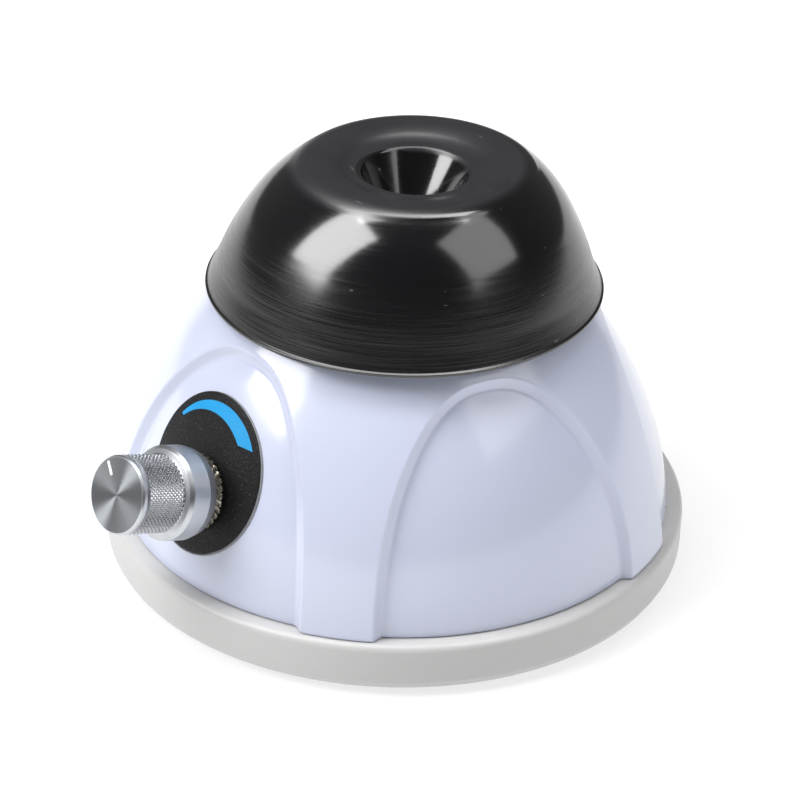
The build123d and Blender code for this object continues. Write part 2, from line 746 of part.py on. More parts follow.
def smoothing_capacitors():
    out = []
    for x, y in ((-13, 42.5), (12.5, 42)):
        out.append(fillet(rod(3.2, BOARD_TOP, BOARD_TOP + 8.5, x, y).edges(), 0.4))
    return out


def drive_transistor():
    body = block(-19.6, -16.2, 25, 33, BOARD_TOP + 2, BOARD_TOP + 10)
    for y in (26.8, 29, 31.2):
        body += block(-18.2, -17.6, y - 0.35, y + 0.35, BOARD_TOP, BOARD_TOP + 2.4)
    return body


NODES = {
    "base_plate": base_plate,
    "foot_ring": foot_ring,
    "ballast_plate": ballast_plate,
    "ballast_screws": ballast_screws,
    "shell": shell,
    "case_screws": case_screws,
    "scale_label": scale_label,
    "speed_knob": speed_knob,
    "knob_pointer": knob_pointer,
    "knob_set_screw": knob_set_screw,
    "control_shaft": control_shaft,
    "control_wiper": control_wiper,
    "control_case": control_case,
    "control_track": control_track,
    "control_terminals": control_terminals,
    "control_bushing": control_bushing,
    "toothed_washer": toothed_washer,
    "control_nut": control_nut,
    "drive_plate": drive_plate,
    "guide_bushings": guide_bushings,
    "guide_posts": guide_posts,
    "retaining_clips": retaining_clips,
    "return_springs": return_springs,
    "antirotation_pins": antirotation_pins,
    "switch_striker": switch_striker,
    "motor_can": motor_can,
    "motor_end_bell": motor_end_bell,
    "motor_bushings": motor_bushings,
    "motor_magnets": motor_magnets,
    "motor_screws": motor_screws,
    "motor_brushes": motor_brushes,
    "terminal_board": terminal_board,
    "motor_terminals": motor_terminals,
    "motor_leads": motor_leads,
    "motor_shaft": motor_shaft,
    "armature_core": armature_core,
    "armature_windings": armature_windings,
    "commutator": commutator,
    "eccentric_hub": eccentric_hub,
    "hub_set_screw": hub_set_screw,
    "counterweight": counterweight,
    "pin_screw": pin_screw,
    "bearing_inner_ring": bearing_inner_ring,
    "bearing_outer_ring": bearing_outer_ring,
    "bearing_balls": bearing_balls,
    "bearing_cage": bearing_cage,
    "cup_carrier": cup_carrier,
    "rubber_cup": rubber_cup,
    "circuit_board": circuit_board,
    "board_spacers": board_spacers,
    "board_screws": board_screws,
    "dc_jack": dc_jack,
    "dc_jack_pin": dc_jack_pin,
    "press_switch": press_switch,
    "switch_plunger": switch_plunger,
    "speed_chip": speed_chip,
    "smoothing_capacitors": smoothing_capacitors,
    "drive_transistor": drive_transistor,
}

os.makedirs("parts", exist_ok=True)
for name, make in NODES.items():
    shape = make()
    if isinstance(shape, list):
        shape = Compound(children=[s for item in shape for s in item.solids()])
    export_step(shape, f"parts/{name}.step")
    print(name, len(shape.solids()), round(shape.volume, 1))
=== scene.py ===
import json
import math

import bmesh
import bpy
import numpy as np
from mathutils import Matrix, Vector


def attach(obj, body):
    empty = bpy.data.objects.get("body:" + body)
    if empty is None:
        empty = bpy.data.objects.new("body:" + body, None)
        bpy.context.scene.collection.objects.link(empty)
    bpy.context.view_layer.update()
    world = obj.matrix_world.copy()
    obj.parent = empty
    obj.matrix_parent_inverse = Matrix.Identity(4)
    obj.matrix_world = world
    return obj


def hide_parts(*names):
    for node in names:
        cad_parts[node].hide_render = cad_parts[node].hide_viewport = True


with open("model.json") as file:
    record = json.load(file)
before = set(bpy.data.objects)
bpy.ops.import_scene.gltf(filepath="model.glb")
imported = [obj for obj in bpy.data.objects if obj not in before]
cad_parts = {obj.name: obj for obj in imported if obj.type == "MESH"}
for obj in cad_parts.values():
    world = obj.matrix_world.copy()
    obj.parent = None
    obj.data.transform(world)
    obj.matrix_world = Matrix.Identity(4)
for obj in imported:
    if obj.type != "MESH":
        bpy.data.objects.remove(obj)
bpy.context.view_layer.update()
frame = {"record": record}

MM = 0.001
TAU = 2 * math.pi

# ---- shared dimensions, millimetres, as in the CAD model ----------------------------
BASE_R = 59.0
BASE_Z0 = 1.7
BASE_TOP = 11.3
DOME_R = 57.6
DOME_ARC_R = 78.6
FOOT_LEAN = math.radians(5.2)
TOP_LEAN = math.radians(37.0)
DECK_Z = 58.0
PANEL_DEPTH = 1.85
OPENING_R = 30.0
COLLAR_R = 31.5
COLLAR_TOP = 60.6
KNOB_TILT = math.radians(20.0)
KNOB_AT = (0.0, -51.66, 30.27)
KNOB_BACK = 3.4
KNOB_LEN = 17.6
KNOB_POINTER = math.radians(42.0)
ECC = 2.0
ECC_ANGLE = math.radians(-22.0)
CUP_AT = (ECC * math.cos(ECC_ANGLE), ECC * math.sin(ECC_ANGLE))
JACK_Z = 20.0
JACK_MOUTH_Y = 55.6
JACK_HOLE_R = 4.8
CAM_AZ = math.radians(46.3)


# ---- mesh helpers ---------------------------------------------------------------------
def smoothstep(x):
    """0 to 1 with level ends, and flat outside them."""
    x = np.clip(x, 0.0, 1.0)
    return x * x * (3 - 2 * x)


def new_object(name, verts, faces, material, body, slot, stands_for=(), uvs=None, sharp=None):
    """A piece from vertices in millimetres; uvs are given per vertex, in millimetres."""
    mesh = bpy.data.meshes.new(name)
    mesh.from_pydata([tuple(np.asarray(v) * MM) for v in verts], [], faces)
    mesh.update()
    if uvs is not None:
        layer = mesh.uv_layers.new(name="span")
        index = np.zeros(len(mesh.loops), dtype=np.int32)
        mesh.loops.foreach_get("vertex_index", index)
        layer.data.foreach_set("uv", np.asarray(uvs, dtype=np.float32)[index].ravel())
    mesh.polygons.foreach_set("use_smooth", [True] * len(mesh.polygons))
    if sharp:
        mesh.set_sharp_from_angle(angle=math.radians(sharp))
    obj = bpy.data.objects.new(name, mesh)
    bpy.context.scene.collection.objects.link(obj)
    obj.data.materials.append(material)
    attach(obj, body)
    if stands_for:
        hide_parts(*stands_for)
    return obj


def rounded(points, steps=8):
    """A path through (r, z, fillet radius) corners, each corner turned into an arc."""
    out = []
    for i, (r, z, rad) in enumerate(points):
        p = np.array([r, z], float)
        if rad <= 0 or i in (0, len(points) - 1):
            out.append(p)
            continue
        a = np.array(points[i - 1][:2], float) - p
        b = np.array(points[i + 1][:2], float) - p
        la, lb = np.linalg.norm(a), np.linalg.norm(b)
        a, b = a / la, b / lb
        half = math.acos(float(np.clip(a @ b, -1, 1))) / 2
        if half > 1.56:
            out.append(p)
            continue
        t = min(rad / math.tan(half), la * 0.499, lb * 0.499)
        rad = t * math.tan(half)
        mid = (a + b) / np.linalg.norm(a + b)
        centre = p + mid * rad / math.sin(half)
        v0, v1 = p + a * t - centre, p + b * t - centre
        turn = math.atan2(v0[0] * v1[1] - v0[1] * v1[0], v0 @ v1)
        for k in range(steps + 1):
            w = turn * k / steps
            c, s = math.cos(w), math.sin(w)
            out.append(centre + np.array([c * v0[0] - s * v0[1], s * v0[0] + c * v0[1]]))
    return out


def arc_through(p0, p1, p2, steps=10):
    """Points after p0 on the arc from p0 through p1 to p2."""
    (ax, ay), (bx, by), (cx, cy) = p0, p1, p2
    d = 2 * (ax * (by - cy) + bx * (cy - ay) + cx * (ay - by))
    qa, qb, qc = ax * ax + ay * ay, bx * bx + by * by, cx * cx + cy * cy
    ux = (qa * (by - cy) + qb * (cy - ay) + qc * (ay - by)) / d
    uy = (qa * (cx - bx) + qb * (ax - cx) + qc * (bx - ax)) / d
    r = math.hypot(ax - ux, ay - uy)
    a0 = math.atan2(ay - uy, ax - ux)
    a1 = math.atan2(by - uy, bx - ux)
    a2 = math.atan2(cy - uy, cx - ux)
    a1 = a0 + (a1 - a0 + math.pi) % TAU - math.pi
    a2 = a1 + (a2 - a1 + math.pi) % TAU - math.pi
    turns = [a0 + (a2 - a0) * (k + 1) / steps for k in range(steps)]
    return [np.array([ux + r * math.cos(t), uy + r * math.sin(t)]) for t in turns]


def thicken(path, longest):
    """The same path with its long runs divided."""
    out = [np.asarray(path[0], float)]
    for p in path[1:]:
        p = np.asarray(p, float)
        n = max(1, math.ceil(np.linalg.norm(p - out[-1]) / longest))
        start = out[-1]
        for k in range(1, n + 1):
            out.append(start + (p - start) * k / n)
    return out


def bands(rows, around, inward=False):
    """Quads between rings of points, row after row."""
    faces = []
    for k in range(rows - 1):
        low, high = k * around, (k + 1) * around
        for i in range(around):
            j = (i + 1) % around
            if inward:
                faces.append((low + i, high + i, high + j, low + j))
            else:
                faces.append((low + i, low + j, high + j, high + i))
    return faces


def lathe(name, path, material, body, slot, around=256, at=(0, 0), frame_of=None, **more):
    """A turned piece: path is (r, z) in millimetres, from one end to the other."""
    verts, uvs, faces = [], [], []
    run = 0.0
    rings = []
    for k, (r, z) in enumerate(path):
        if k:
            run += float(np.hypot(r - path[k - 1][0], z - path[k - 1][1]))
        if r < 1e-6:
            rings.append([len(verts)])
            verts.append((0, 0, z))
            uvs.append((0.5, run))
            continue
        ring = []
        for i in range(around):
            a = TAU * i / around
            ring.append(len(verts))
            verts.append((r * math.cos(a), r * math.sin(a), z))
            uvs.append((a / TAU, run))
        rings.append(ring)
    for low, high in zip(rings, rings[1:]):
        n = max(len(low), len(high))
        for i in range(n):
            j = (i + 1) % n
            if len(low) == 1:
                faces.append((low[0], high[j], high[i]))
            elif len(high) == 1:
                faces.append((low[i], low[j], high[0]))
            else:
                faces.append((low[i], low[j], high[j], high[i]))
    verts = np.array(verts)
    if frame_of is not None:
        verts = to_frame(verts, frame_of)
    else:
        verts[:, 0] += at[0]
        verts[:, 1] += at[1]
    return new_object(name, verts, faces, material, body, slot, uvs=uvs, **more)


KNOB_N = np.array([0, -math.cos(KNOB_TILT), math.sin(KNOB_TILT)])
KNOB_U = np.array([1.0, 0, 0])
KNOB_V = np.cross(KNOB_N, KNOB_U)


def to_frame(verts, origin):
    """Points given along the knob's own axes, from an origin on its axis."""
    v = np.asarray(verts, float)
    return np.asarray(origin) + v[:, :1] * KNOB_U + v[:, 1:2] * KNOB_V + v[:, 2:3] * KNOB_N


# ---- materials ------------------------------------------------------------------------
class Paint:
    """A node material with short helpers; colours are linear RGB."""

    def __init__(self, name, metallic=0.0, coat=0.0, coat_rough=0.05, ior=1.5, specular=0.5):
        self.mat = bpy.data.materials.new(name)
        self.mat.use_nodes = True
        self.tree = self.mat.node_tree
        self.tree.nodes.clear()
        self.out = self.node("ShaderNodeOutputMaterial")
        self.bsdf = self.node("ShaderNodeBsdfPrincipled")
        self.link(self.bsdf.outputs[0], self.out.inputs[0])
        self.bsdf.inputs["Metallic"].default_value = metallic
        self.bsdf.inputs["Coat Weight"].default_value = coat
        self.bsdf.inputs["Coat Roughness"].default_value = coat_rough
        self.bsdf.inputs["IOR"].default_value = ior
        self.bsdf.inputs["Specular IOR Level"].default_value = specular
        self.coords = self.node("ShaderNodeTexCoord")

    def node(self, kind, **values):
        n = self.tree.nodes.new(kind)
        for key, value in values.items():
            setattr(n, key, value)
        return n

    def link(self, a, b):
        self.tree.links.new(a, b)

    def stretch(self, scale, source="Object"):
        m = self.node("ShaderNodeMapping")
        m.inputs["Scale"].default_value = scale
        self.link(self.coords.outputs[source], m.inputs["Vector"])
        return m.outputs[0]

    def noise(self, scale, detail=3.0, rough=0.5, vector=None):
        n = self.node("ShaderNodeTexNoise")
        n.inputs["Scale"].default_value = scale
        n.inputs["Detail"].default_value = detail
        n.inputs["Roughness"].default_value = rough
        self.link(vector or self.coords.outputs["Object"], n.inputs["Vector"])
        return n.outputs["Fac"]

    def cells(self, scale):
        n = self.node("ShaderNodeTexVoronoi", feature="F1")
        n.inputs["Scale"].default_value = scale
        self.link(self.coords.outputs["Object"], n.inputs["Vector"])
        return n.outputs["Distance"]

    def remap(self, value, a, b, c, d):
        n = self.node("ShaderNodeMapRange")
        n.clamp = True
        for key, v in zip(("From Min", "From Max", "To Min", "To Max"), (a, b, c, d)):
            n.inputs[key].default_value = v
        self.link(value, n.inputs["Value"])
        return n.outputs[0]

    def math(self, op, a, b):
        n = self.node("ShaderNodeMath", operation=op)
        for k, v in enumerate((a, b)):
            if isinstance(v, (int, float)):
                n.inputs[k].default_value = v
            else:
                self.link(v, n.inputs[k])
        return n.outputs[0]

    def mix(self, factor, a, b):
        n = self.node("ShaderNodeMix", data_type="RGBA")
        self.link(factor, n.inputs[0])
        for k, v in ((6, a), (7, b)):
            if isinstance(v, tuple):
                n.inputs[k].default_value = (*v, 1.0)
            else:
                self.link(v, n.inputs[k])
        return n.outputs[2]

    def colour(self, value):
        self.link(value, self.bsdf.inputs["Base Color"])

    def rough(self, value):
        self.link(value, self.bsdf.inputs["Roughness"])

    def across(self):
        """Highlights stretch across the turning marks, which run round the piece."""
        tangent = self.node("ShaderNodeTangent", direction_type="UV_MAP")
        tangent.uv_map = "span"
        self.link(tangent.outputs[0], self.bsdf.inputs["Tangent"])
        self.bsdf.inputs["Anisotropic Rotation"].default_value = 0.25

    def bump(self, height, strength, distance, previous=None):
        n = self.node("ShaderNodeBump")
        n.inputs["Strength"].default_value = strength
        n.inputs["Distance"].default_value = distance
        self.link(height, n.inputs["Height"])
        if previous is not None:
            self.link(previous, n.inputs["Normal"])
        self.link(n.outputs[0], self.bsdf.inputs["Normal"])
        return n.outputs[0]


def glossy_case():
    """Injection-moulded ABS: cool white, faint flow variation, a trace of orange peel."""
    p = Paint("case_white_abs", coat=0.65, coat_rough=0.11, ior=1.54)
    flow = p.noise(18, 4)
    p.colour(p.mix(p.remap(flow, 0.3, 0.7, 0, 1), (0.592, 0.630, 0.788), (0.606, 0.643, 0.796)))
    p.rough(p.remap(p.noise(140, 3), 0.3, 0.7, 0.20, 0.24))
    p.bump(p.noise(90, 2), 0.03, 0.0006)
    return p.mat


def satin_base():
    """Warm white moulded base with a fine spark-eroded grain and light handling marks."""
    p = Paint("base_warm_white", coat=0.12, coat_rough=0.18, ior=1.5)
    grey = p.remap(p.noise(30, 5, 0.6), 0.35, 0.75, 0, 1)
    p.colour(p.mix(grey, (0.585, 0.582, 0.578), (0.560, 0.557, 0.553)))
    p.rough(p.remap(p.noise(380, 4), 0.3, 0.7, 0.34, 0.46))
    first = p.bump(p.noise(1500, 3), 0.08, 0.0003)
    p.bump(p.cells(900), 0.03, 0.0002, first)
    return p.mat


def cup_rubber():
    """Moulded black rubber: glossy turned wall with faint rings, matt bloom in the bowl."""
    p = Paint("cup_black_rubber", ior=1.52, specular=1.0)
    rings = p.noise(1.0, 4, 0.65, p.stretch((9.0, 3.2, 1.0), "UV"))
    soft = p.noise(38, 3)
    split = p.node("ShaderNodeSeparateXYZ")
    p.link(p.coords.outputs["Object"], split.inputs[0])
    x = p.math("SUBTRACT", split.outputs[0], CUP_AT[0] * MM)
    y = p.math("SUBTRACT", split.outputs[1], CUP_AT[1] * MM)
    radius = p.math("SQRT", p.math("ADD", p.math("MULTIPLY", x, x), p.math("MULTIPLY", y, y)), 0.0)
    high = p.remap(split.outputs[2], 0.0822, 0.0828, 0, 1)
    inner = p.remap(radius, 0.0100, 0.0102, 0, 1)
    outer = p.remap(radius, 0.0218, 0.0236, 1, 0)
    bowl = p.math("MULTIPLY", p.math("MULTIPLY", high, inner), outer)
    low = p.remap(split.outputs[2], 0.066, 0.078, 1, 0)
    brushed = p.math("ADD", p.remap(rings, 0.4, 0.7, 0.0, 0.14), 0.12)
    gloss = p.math("ADD", p.remap(rings, 0.35, 0.65, 0.11, 0.15), p.math("MULTIPLY", low, brushed))
    matt = p.remap(soft, 0.3, 0.7, 0.33, 0.42)
    mix_rough = p.math("ADD", p.math("MULTIPLY", gloss, p.math("SUBTRACT", 1.0, bowl)),
                       p.math("MULTIPLY", matt, bowl))
    p.rough(mix_rough)
    body = p.mix(p.remap(soft, 0.35, 0.7, 0, 1), (0.0052, 0.0053, 0.0060), (0.0085, 0.0087, 0.0098))
    bloom = p.mix(p.remap(soft, 0.3, 0.7, 0, 1), (0.013, 0.013, 0.016), (0.022, 0.022, 0.025))
    tone = p.mix(bowl, body, bloom)
    sparse = p.remap(p.noise(24, 2), 0.56, 0.62, 0, 1)
    fleck = p.math("MULTIPLY", p.remap(p.cells(330), 0.055, 0.085, 1, 0), sparse)
    hair = p.remap(p.noise(1.0, 1, 0.5, p.stretch((90, 420, 900))), 0.76, 0.78, 0, 1)
    dust = p.math("MAXIMUM", fleck, p.math("MULTIPLY", hair, 0.55))
    p.colour(p.mix(dust, tone, (0.16, 0.16, 0.17)))
    scuff = p.math("MULTIPLY", rings, p.math("ADD", p.math("MULTIPLY", low, 0.8), 0.2))
    first = p.bump(scuff, 0.07, 0.0001)
    p.bump(p.noise(900, 2), 0.025, 0.0001, first)
    return p.mat


def turned_aluminium(name, lines, rough=(0.20, 0.30), anisotropic=0.0, tint=(0.62, 0.63, 0.65)):
    """Bare machined aluminium with fine circumferential tool lines."""
    p = Paint(name, metallic=1.0, specular=0.5)
    marks = p.noise(1.0, 3, 0.6, p.stretch((3.0, lines, 1.0), "UV"))
    p.rough(p.remap(marks, 0.3, 0.7, rough[0], rough[1]))
    wear = p.remap(p.noise(300, 4), 0.35, 0.7, 0, 1)
    p.colour(p.mix(wear, tint, tuple(c * 0.9 for c in tint)))
    p.bump(marks, 0.12, 0.00006)
    p.bsdf.inputs["Anisotropic"].default_value = anisotropic
    if anisotropic:
        p.across()
    return p.mat


def spun_face():
    """Spun knob face: concentric cutter rings, which give the fan-shaped glints."""
    p = Paint("knob_spun_face", metallic=1.0)
    rings = p.noise(1.0, 4, 0.7, p.stretch((1.2, 9.0, 1.0), "UV"))
    # painted shade: the face's aluminium tint is set darker than the skirt's, for the darker look of the
    # real face
    p.colour(p.mix(p.remap(rings, 0.3, 0.7, 0, 1), (0.29, 0.303, 0.317), (0.245, 0.257, 0.27)))
    p.rough(p.remap(rings, 0.3, 0.7, 0.33, 0.39))
    p.bsdf.inputs["Anisotropic"].default_value = 0.98
    p.across()
    p.bump(rings, 0.04, 0.00002)
    return p.mat


def label_film():
    """Black embossed film with a pebbled, speckled surface."""
    p = Paint("label_textured_black", ior=1.45, specular=0.28)
    pebble = p.cells(1900)
    grain = p.noise(2600, 2)
    spark = p.math("MULTIPLY", p.remap(p.cells(2600), 0.0, 0.25, 1, 0),
                   p.remap(p.noise(1400, 2), 0.52, 0.62, 0, 1))
    p.colour(p.mix(spark, (0.007, 0.007, 0.008), (0.30, 0.30, 0.31)))
    p.rough(p.remap(grain, 0.3, 0.7, 0.42, 0.62))
    first = p.bump(pebble, 0.5, 0.00012)
    p.bump(grain, 0.3, 0.00006, first)
    return p.mat


def printed_blue():
    """Blue print that takes up the film's own grain."""
    p = Paint("label_blue_ink", ior=1.5)
    p.colour(p.mix(p.remap(p.noise(500, 3), 0.3, 0.7, 0, 1), (0.006, 0.30, 0.66), (0.010, 0.33, 0.71)))
    p.rough(p.remap(p.noise(1500, 2), 0.3, 0.7, 0.30, 0.42))
    p.bump(p.cells(1900), 0.25, 0.00008)
    return p.mat


def label_shade_rim():
    """Grey rim under the label, which shows at its lower right edge as painted shade."""
    p = Paint("label_rim_painted_shade", ior=1.5)
    p.colour(p.mix(p.remap(p.noise(700, 3), 0.3, 0.7, 0, 1), (0.20, 0.205, 0.215), (0.27, 0.275, 0.285)))
    p.rough(p.remap(p.noise(1500, 2), 0.3, 0.7, 0.30, 0.42))
    p.bump(p.noise(2200, 2), 0.1, 0.00004)
    return p.mat


def warm_nickel():
    """Bright plated pressing with a faint yellow cast and rolled-edge wear."""
    p = Paint("washer_plated", metallic=1.0)
    worn = p.remap(p.noise(500, 4), 0.35, 0.7, 0, 1)
    p.colour(p.mix(worn, (0.80, 0.75, 0.65), (0.66, 0.60, 0.49)))
    p.rough(p.remap(p.noise(900, 3), 0.3, 0.7, 0.22, 0.34))
    p.bump(p.noise(1400, 3), 0.15, 0.00008)
    return p.mat


def pointer_white():
    """White fill of the knob's pointer."""
    p = Paint("pointer_white_ink", ior=1.5)
    p.colour(p.mix(p.remap(p.noise(900, 3), 0.35, 0.7, 0, 1), (0.90, 0.90, 0.90), (0.82, 0.82, 0.83)))
    p.rough(p.remap(p.noise(1500, 2), 0.3, 0.7, 0.35, 0.5))
    p.bump(p.noise(2500, 2), 0.1, 0.00004)
    return p.mat


FINISH = {
    # class: (metallic, rough low, rough high, noise scale, bump)
    "brushed_steel": (1.0, 0.25, 0.42, (240, 240, 1400), 0.10),
    "chrome": (1.0, 0.10, 0.20, (500, 500, 500), 0.04),
    "aluminium": (1.0, 0.28, 0.42, (300, 300, 900), 0.08),
    "cast_iron": (0.6, 0.55, 0.75, (900, 900, 900), 0.25),
    "brass": (1.0, 0.26, 0.42, (400, 400, 400), 0.08),
    "rubber": (0.0, 0.55, 0.78, (700, 700, 700), 0.25),
    "matte_plastic": (0.0, 0.42, 0.60, (800, 800, 800), 0.12),
    "gloss_plastic": (0.0, 0.18, 0.30, (300, 300, 300), 0.05),
}


def stock_material(slot):
    """A procedural finish for a carried-over CAD node, from its record slot."""
    metallic, low, high, scale, depth = FINISH[slot["class"]]
    p = Paint("finish_" + slot["slot"], metallic=metallic)
    c = tuple(v ** 2.2 for v in slot["base_color"][:3])
    if metallic:
        c = tuple(slot["base_color"][:3])
    dark = tuple(v * 0.82 for v in c)
    grain = p.noise(1.0, 4, 0.6, p.stretch(scale))
    p.colour(p.mix(p.remap(p.noise(120, 4), 0.35, 0.7, 0, 1), c, dark))
    p.rough(p.remap(grain, 0.3, 0.7, low, high))
    p.bump(grain, depth, 0.0002)
    return p.mat


def pale_floor():
    """White paper sweep with a faint tone and grain; it glows by its own emission, dimmed close to the
    object as a painted shadow.
    """
    p = Paint("floor_paper", ior=1.3)
    p.colour(p.mix(p.remap(p.noise(6, 3), 0.3, 0.7, 0, 1), (0.36, 0.36, 0.36), (0.38, 0.38, 0.38)))
    p.rough(p.remap(p.noise(300, 3), 0.3, 0.7, 0.6, 0.75))
    p.bsdf.inputs["Emission Color"].default_value = (1, 1, 1, 1)
    # painted shadow: the glow is dimmer close to the object, as if it stood in its own soft shade, and
    # brighter far out
    apart = p.node("ShaderNodeVectorMath", operation="LENGTH")
    p.link(p.coords.outputs["Object"], apart.inputs[0])
    glow_painted_shade = p.remap(apart.outputs["Value"], 0.062, 0.13, 0.65, 0.85)
    far = p.remap(apart.outputs["Value"], 0.6, 1.8, 0.0, 0.15)
    p.link(p.math("ADD", glow_painted_shade, far), p.bsdf.inputs["Emission Strength"])
    return p.mat


CASE = glossy_case()
BASE = satin_base()
RUBBER = cup_rubber()
# painted shade: the knob's aluminium tints are set low, the barrel's darker than the skirt's, for the
# darker surroundings the real knob reflects
BARREL = turned_aluminium("knob_barrel", 6.0, tint=(0.44, 0.45, 0.47))
SKIRT = turned_aluminium("knob_skirt", 9.0, rough=(0.34, 0.44), anisotropic=0.5, tint=(0.60, 0.62, 0.65))
FACE = spun_face()
LABEL = label_film()
BLUE = printed_blue()
WHITE_INK = pointer_white()
# painted shade: grey for the rim that peeks out at the label's lower right edge
SHADE_RIM = label_shade_rim()
PLATED = warm_nickel()


# ---- case: dome with five arched panels -------------------------------------------------
ARC_START = FOOT_LEAN
ARC_END = TOP_LEAN
ARC_CX = DOME_R - DOME_ARC_R * math.cos(ARC_START)
ARC_CZ = BASE_TOP - DOME_ARC_R * math.sin(ARC_START)
ARC_RUN = DOME_ARC_R * (ARC_END - ARC_START)
CONE_R = ARC_CX + DOME_ARC_R * math.cos(ARC_END)
CONE_Z = ARC_CZ + DOME_ARC_R * math.sin(ARC_END)
CASE_TOP = 57.45
CASE_RUN = ARC_RUN + (CASE_TOP - CONE_Z) / math.cos(ARC_END)
PANELS = 5
ARCH_HALF = math.radians(29.0)          # an arch's half width, as an angle
ARCH_H = 53.4                           # its crown, above ARCH_Z0
ARCH_Z0 = 2.5
WALL_W = 1.45                           # width of the step round an arch
WALL_T = 4.6
INNER_Z = 55.6                          # the deck's underside


def dome_point(theta, run, depth):
    """Points on the dome: azimuth, length up the side, depth below the raised surface."""
    lean = np.where(run < ARC_RUN, ARC_START + run / DOME_ARC_R, ARC_END)
    over = np.maximum(run - ARC_RUN, 0.0)
    r = ARC_CX + DOME_ARC_R * np.cos(lean) - over * math.sin(ARC_END)
    z = ARC_CZ + DOME_ARC_R * np.sin(lean) + over * math.cos(ARC_END)
    dip = lean * smoothstep(run / 6.0)
    r = r - depth * np.cos(dip)
    z = z - depth * np.sin(dip)
    return np.stack([r * np.cos(theta), r * np.sin(theta), z], axis=-1)


def run_at(z):
    """Length up the side at a height."""
    if z < CONE_Z:
        return DOME_ARC_R * (math.asin((z - ARC_CZ) / DOME_ARC_R) - ARC_START)
    return ARC_RUN + (z - CONE_Z) / math.cos(ARC_END)


def hinge(x, k):
    """0 below zero and x above it, with a bend of size k."""
    return k * np.logaddexp(0.0, x / k)


def step_depth(s):
    """Depth at a signed distance s outside the arch edge: crisp top edge, soft foot."""
    return PANEL_DEPTH / WALL_W * (hinge(-s, 0.11) - hinge(-s - WALL_W, 0.22))


def arch_curve(rows):
    """Half outline of an arch from foot to crown: azimuth, run, and outward normal."""
    w = np.linspace(0.0, 1.0, 4001)
    foot = BASE_TOP - ARCH_Z0
    z = foot + (ARCH_H - foot) * (1 - (1 - w) ** 3)
    half = ARCH_HALF * np.maximum(1 - (z / ARCH_H) ** 3.6, 0.0) ** (1 / 2.4)
    run = np.array([run_at(v + ARCH_Z0) for v in z])
    pts = dome_point(np.zeros_like(run), run, 0.0)
    r = pts[:, 0]
    seg = np.hypot(np.diff(run), (r[1:] + r[:-1]) / 2 * np.diff(half))
    length = np.r_[0, np.cumsum(seg)]
    length /= length[-1]
    t = np.linspace(0, 1, rows)
    t = np.unique(np.r_[t, 0.0015, 0.004, 0.008, 0.013, 0.98 + 0.02 * np.linspace(0, 1, 10)])
    half = np.interp(t, length, half)
    run = np.interp(t, length, run)
    r = np.interp(t, length, r)
    dx = np.gradient(half) * r
    dl = np.gradient(run)
    n = np.hypot(dx, dl)
    out_x, out_l = dl / n, -dx / n
    out_x[-1], out_l[-1] = 0.0, 1.0
    out_l *= smoothstep(run / 4.0)
    return t, half, run, r, out_x, out_l


def shell_mesh():
    """The case's outer side: ten half panels, each a grid that follows its arch."""
    t, half, run, r, out_x, out_l = arch_curve(150)
    ribbon = np.array([1.35, 1.0, 0.7, 0.48, 0.32, 0.2, 0.1, 0.0, -0.1, -0.2, -0.35, -0.6, -0.9,
                       -1.15, -1.35, -1.5, -1.65, -1.8, -1.95, -2.1, -2.3, -2.55, -2.9, -3.4, -4.2])
    cols_theta, cols_run, cols_s = [], [], []
    edge = math.pi / PANELS
    top_len = edge * 39.0
    goal = t * (CASE_RUN + top_len)
    bound_run = np.minimum(goal, CASE_RUN)
    bound_theta = np.where(goal > CASE_RUN, edge * (1 - (goal - CASE_RUN) / top_len), edge)
    first_theta = half + out_x * ribbon[0] / r
    first_run = run + out_l * ribbon[0]
    for w in np.linspace(1, 0, 15)[:-1]:
        cols_theta.append(first_theta * (1 - w) + bound_theta * w)
        cols_run.append(first_run * (1 - w) + bound_run * w)
        cols_s.append(np.full_like(t, 99.0))
    for s in ribbon:
        # never past the panel's middle, so that the ribbon can't fold over at the crown
        cols_theta.append(np.maximum(half + out_x * s / r, 0.0))
        cols_run.append(run + out_l * s)
        cols_s.append(np.full_like(t, s))
    last_theta, last_run = cols_theta[-1], cols_run[-1]
    for w in np.linspace(0, 1, 17)[1:]:
        cols_theta.append(last_theta * (1 - w))
        cols_run.append(last_run)
        cols_s.append(np.full_like(t, -99.0))
    theta = np.array(cols_theta).T
    along = np.maximum(np.array(cols_run).T, 0.0)
    s = np.array(cols_s).T
    depth = np.where(s > 50, 0.0, np.where(s < -50, PANEL_DEPTH, step_depth(np.clip(s, -9, 9))))
    # the panel's bottom edge and the pillars' feet are slightly rounded
    foot = 0.55 * (1 - np.sqrt(np.clip(1 - (1 - np.clip(along / 0.7, 0, 1)) ** 2, 0, 1)))
    depth = depth + foot
    rows, cols = theta.shape
    grids = []
    for k in range(PANELS):
        mid = -math.pi / 2 + k * TAU / PANELS
        for side in (-1, 1):
            grids.append((dome_point(mid + side * theta, along, depth), side))
    bm = bmesh.new()
    for grid, side in grids:
        flat = [bm.verts.new(tuple(p * MM)) for p in grid.reshape(-1, 3)]
        for i in range(rows - 1):
            for j in range(cols - 1):
                a, b = i * cols + j, i * cols + j + 1
                c, d = (i + 1) * cols + j + 1, (i + 1) * cols + j
                order = (a, b, c, d) if side < 0 else (d, c, b, a)
                bm.faces.new([flat[k] for k in order])
    bmesh.ops.remove_doubles(bm, verts=bm.verts, dist=2e-6)
    bmesh.ops.dissolve_degenerate(bm, dist=1e-6, edges=bm.edges)
    bm.normal_update()
    return bm


def ring_of(bm, pick):
    """The open edge's points that pick says yes to, in order round the axis."""
    found = [v for v in bm.verts if v.is_boundary and pick(v.co)]
    return sorted(found, key=lambda v: math.atan2(v.co.y, v.co.x))


